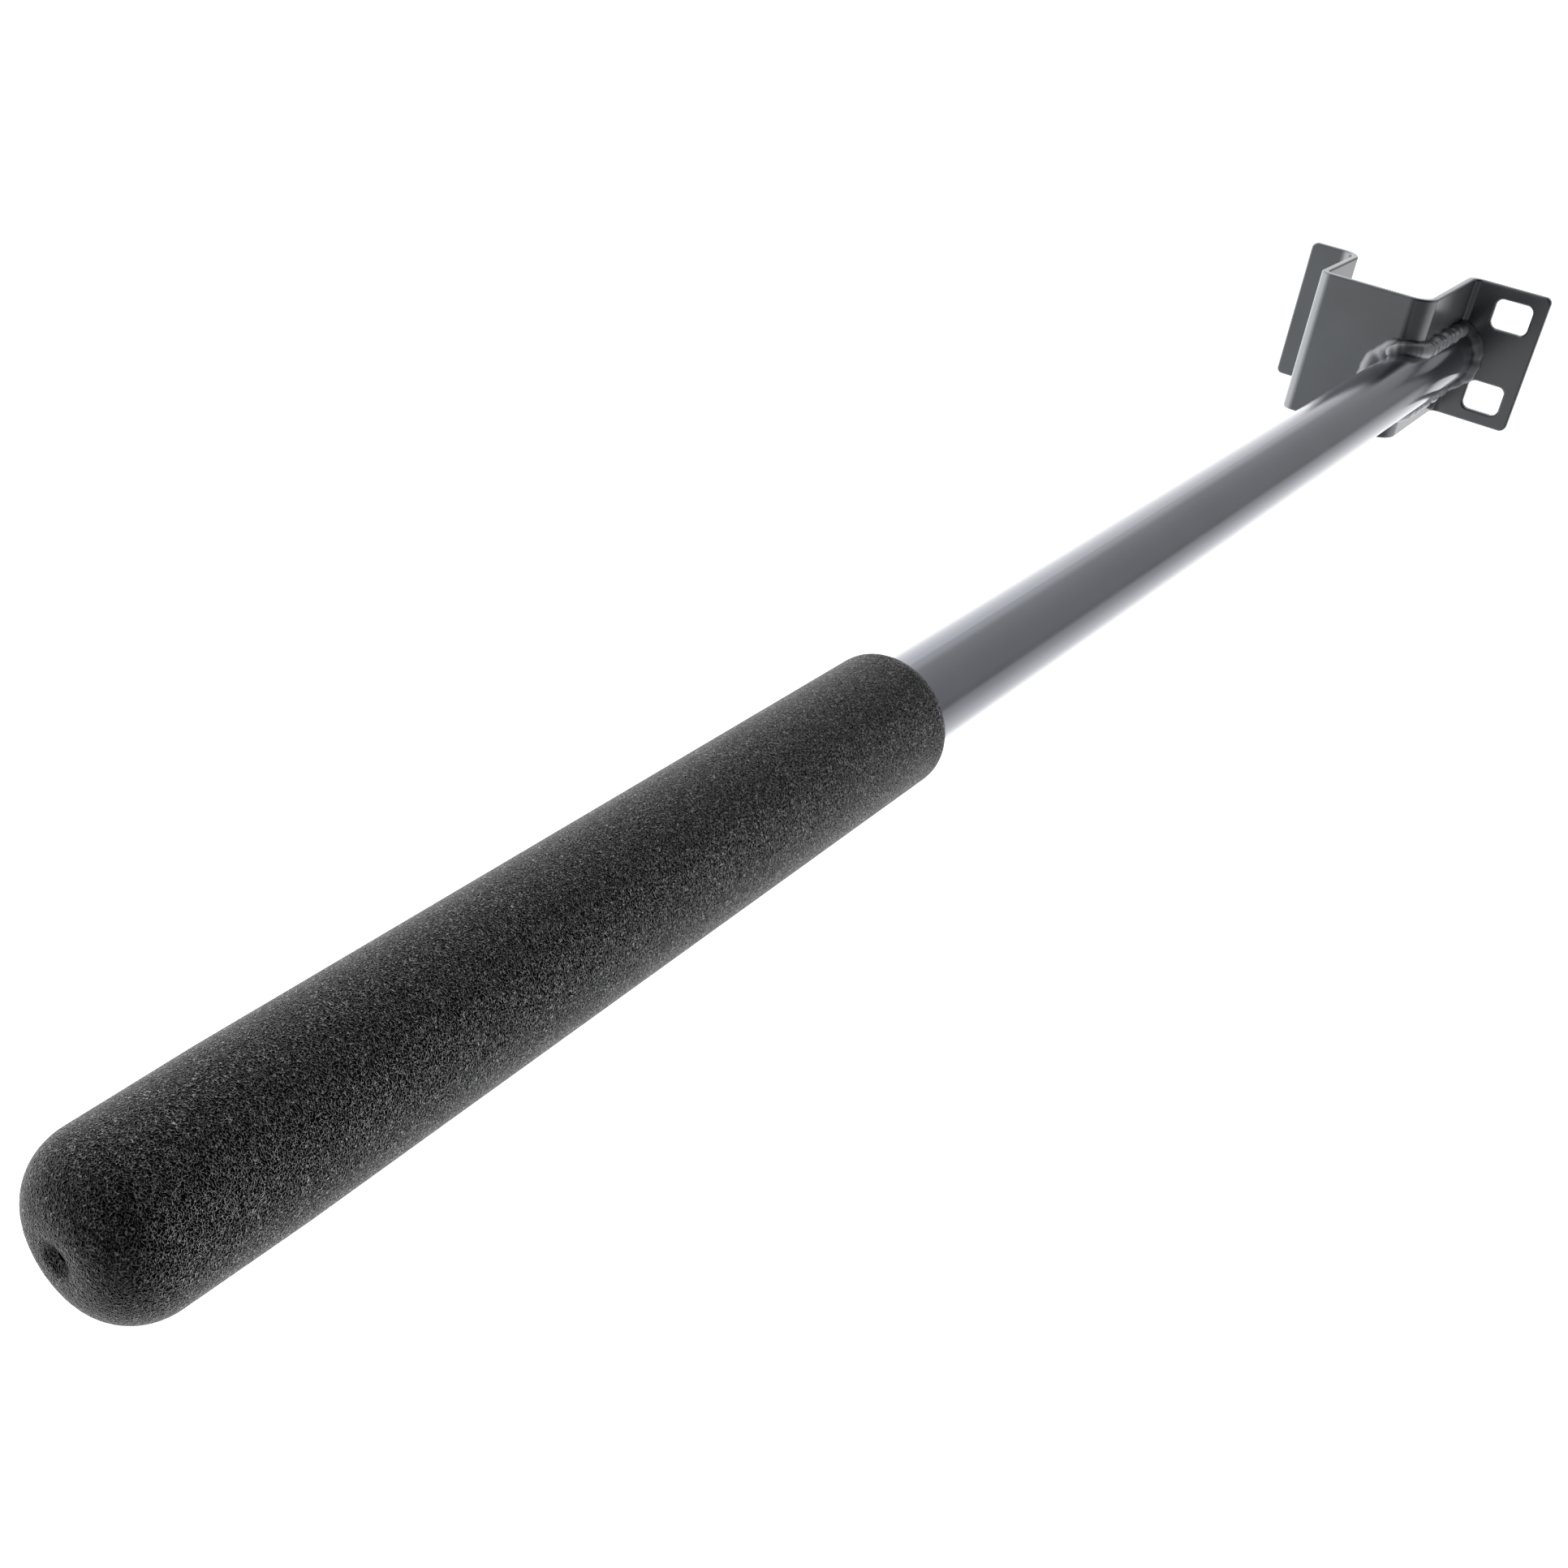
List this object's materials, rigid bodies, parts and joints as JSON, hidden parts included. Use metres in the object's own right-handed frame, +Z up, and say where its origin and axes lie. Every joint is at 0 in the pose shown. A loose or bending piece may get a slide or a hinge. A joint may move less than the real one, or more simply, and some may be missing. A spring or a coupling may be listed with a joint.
{
  "type": "pull up bar arm",
  "caption": "Straight round steel bar with a closed-end foam grip, welded to a bent sheet-steel bracket with square bolt holes.",
  "frame": {"origin": "on the rear face of the bolt flange, midway between its two square holes", "axes": "+Y into the surface the flange is bolted to, so the bar runs towards -Y; +X from the side lip to the bolt flange; +Z up"},
  "size_m": [0.1022, 0.6935, 0.06],
  "materials": {
    "bar_coat": "glossy metallic dark grey coat",
    "bracket_coat": "glossy metallic dark grey coat",
    "weld_coat": "glossy metallic dark grey coat over weld beads",
    "plug_plastic": "moulded",
    "grip_foam": "fine-grained charcoal foam"
  },
  "bodies": {
    "root": {"main_tube": "bar_coat", "mounting_bracket": "bracket_coat", "tube_end_plug": "plug_plastic", "foam_grip": "grip_foam", "weld_front": "weld_coat", "weld_upper": "weld_coat", "weld_lower": "weld_coat", "weld_rear": "weld_coat"}
  },
  "joints": []
}
